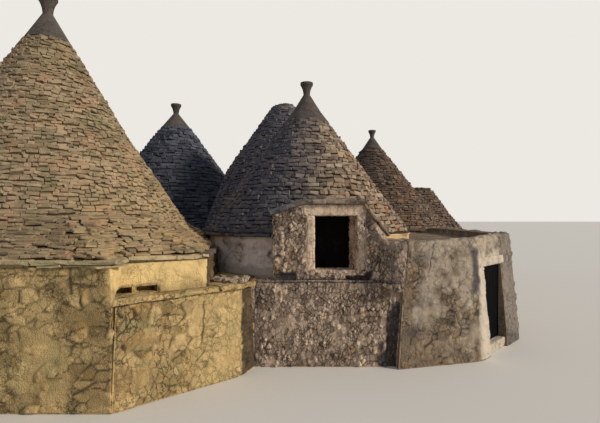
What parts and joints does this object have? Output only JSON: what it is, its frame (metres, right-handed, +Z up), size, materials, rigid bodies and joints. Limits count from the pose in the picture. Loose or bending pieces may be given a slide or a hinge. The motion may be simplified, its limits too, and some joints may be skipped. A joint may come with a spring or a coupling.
{
  "type": "trullo house",
  "caption": "Cluster of round dry-stone trulli with corbelled conical roofs, pinnacles, a dormer window with shutters and a flat-roofed entry with a hinged plank door.",
  "frame": {"origin": "on the ground, at the axis of the centre trullo", "axes": "+Z up; the front of the house, with the dormer window, faces -Y; the entry lies towards +X"},
  "size_m": [17.2599, 18.7403, 7.7468],
  "materials": {
    "rubble_limestone": "dry-laid rubble with worn limewash",
    "roof_limestone": "weathered corbel slabs with lichen",
    "lime_plaster": "aged limewash",
    "plastered_rubble": "smoothed lime plaster over rubble, cracked",
    "dressed_limestone": "cut and rubbed",
    "whitewashed_limestone": "thin whitewash",
    "paving_limestone": "worn flags",
    "door_wood": "dark weathered planks",
    "shutter_wood": "dark grey painted planks",
    "wrought_iron": "forged, rusted"
  },
  "bodies": {
    "house": {"bay_cover": "roof_limestone", "bay_wall": "rubble_limestone", "centre_pinnacle": "lime_plaster", "centre_roof": "roof_limestone", "centre_wall_left": "rubble_limestone", "centre_wall_right": "rubble_limestone", "door_lintel": "whitewashed_limestone", "door_threshold": "whitewashed_limestone", "entry_front_wall": "plastered_rubble", "entry_party_wall": "plastered_rubble", "entry_roof": "roof_limestone", "entry_side_wall": "plastered_rubble", "entry_upper_wall": "plastered_rubble", "far_right_roof": "roof_limestone", "far_right_wall_left": "rubble_limestone", "far_right_wall_right": "rubble_limestone", "floor": "paving_limestone", "front_terrace": "rubble_limestone", "left_pinnacle": "lime_plaster", "left_roof": "roof_limestone", "left_shutter": "shutter_wood", "left_terrace": "rubble_limestone", "left_wall_back": "rubble_limestone", "left_wall_front": "rubble_limestone", "lower_pintle": "wrought_iron", "rear_centre_roof": "roof_limestone", "rear_centre_wall_left": "rubble_limestone", "rear_centre_wall_right": "rubble_limestone", "rear_left_pinnacle": "lime_plaster", "rear_left_roof": "roof_limestone", "rear_left_wall_back": "rubble_limestone", "rear_left_wall_front": "rubble_limestone", "rear_right_pinnacle": "lime_plaster", "rear_right_roof": "roof_limestone", "rear_right_wall_left": "rubble_limestone", "rear_right_wall_right": "rubble_limestone", "right_shutter": "shutter_wood", "upper_pintle": "wrought_iron", "window_left_jamb": "dressed_limestone", "window_lintel": "dressed_limestone", "window_right_jamb": "dressed_limestone", "window_sill": "dressed_limestone"},
    "door": {"door_leaf": "door_wood", "lower_strap": "wrought_iron", "upper_strap": "wrought_iron"}
  },
  "joints": [
    {"name": "door_hinge", "type": "hinge", "parent": "house", "child": "door", "pos_m": [4.1746, -1.3808, 0.33], "axis": [0, 0, -1], "range_deg": [0, 90]}
  ]
}
